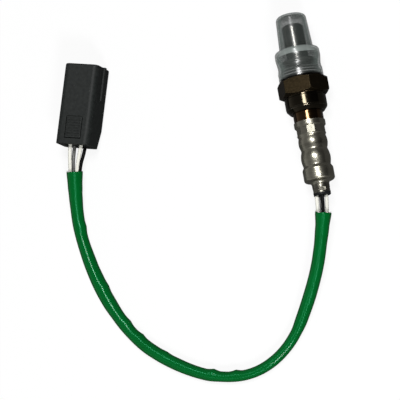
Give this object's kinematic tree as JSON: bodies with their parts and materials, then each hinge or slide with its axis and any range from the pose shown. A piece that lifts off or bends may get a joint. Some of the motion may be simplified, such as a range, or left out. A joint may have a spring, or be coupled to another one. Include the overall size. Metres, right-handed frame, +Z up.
{
  "type": "oxygen sensor",
  "caption": "Heated exhaust oxygen sensor with a threaded hexagon housing, a wiring lead in a braided sleeve, a square connector and a push-on transit cap over the tip.",
  "frame": {"origin": "centre of the seat face under the hexagon, where the gasket bears, on the sensor's axis", "axes": "+Y runs along the sensor's axis towards its sensing tip, +Z is up from the surface it lies on, +X completes the right-handed set; the surface is 11 mm below the axis"},
  "size_m": [0.1426, 0.1729, 0.022],
  "materials": {
    "smoke_cap": "translucent smoke-grey moulded plastic, satin",
    "stainless": "drawn stainless steel",
    "housing_steel": "plated and turned steel, dark and reflective",
    "gasket_steel": "folded steel strip",
    "polished_sleeve": "polished steel with a bronze heat tint",
    "satin_shell": "satin stainless steel",
    "black_rubber": "fluorocarbon rubber",
    "white_insulation": "fluoropolymer wire insulation",
    "black_insulation": "fluoropolymer wire insulation",
    "grey_insulation": "fluoropolymer wire insulation",
    "green_glass_fibre": "braided glass fibre, varnished",
    "black_plastic": "glass-filled nylon, matt",
    "zirconia": "sintered zirconia laminate",
    "white_ceramic": "steatite",
    "pressed_talc": "pressed talc powder",
    "retainer_plastic": "nylon",
    "spring_alloy": "nickel spring alloy",
    "tinned_brass": "tinned brass",
    "seal_rubber": "silicone rubber"
  },
  "bodies": {
    "root": {"protective_cap": "smoke_cap", "outer_protection_tube": "stainless", "inner_protection_tube": "stainless", "hex_shell": "housing_steel", "sealing_gasket": "gasket_steel", "inner_sleeve": "polished_sleeve", "upper_shell": "satin_shell", "rubber_grommet": "black_rubber", "wire_white_a": "white_insulation", "wire_white_b": "white_insulation", "wire_black": "black_insulation", "wire_grey": "grey_insulation", "green_sleeve": "green_glass_fibre", "connector_housing": "black_plastic", "sensing_element": "zirconia", "lower_ceramic": "white_ceramic", "talc_seal": "pressed_talc", "upper_ceramic": "white_ceramic", "packing_ring": "gasket_steel", "terminal_separator": "white_ceramic", "terminal_retainer": "retainer_plastic", "contact_spring_1": "spring_alloy", "terminal_1": "tinned_brass", "wire_seal_1": "seal_rubber", "contact_spring_2": "spring_alloy", "terminal_2": "tinned_brass", "wire_seal_2": "seal_rubber", "contact_spring_3": "spring_alloy", "terminal_3": "tinned_brass", "wire_seal_3": "seal_rubber", "contact_spring_4": "spring_alloy", "terminal_4": "tinned_brass", "wire_seal_4": "seal_rubber"}
  },
  "joints": []
}
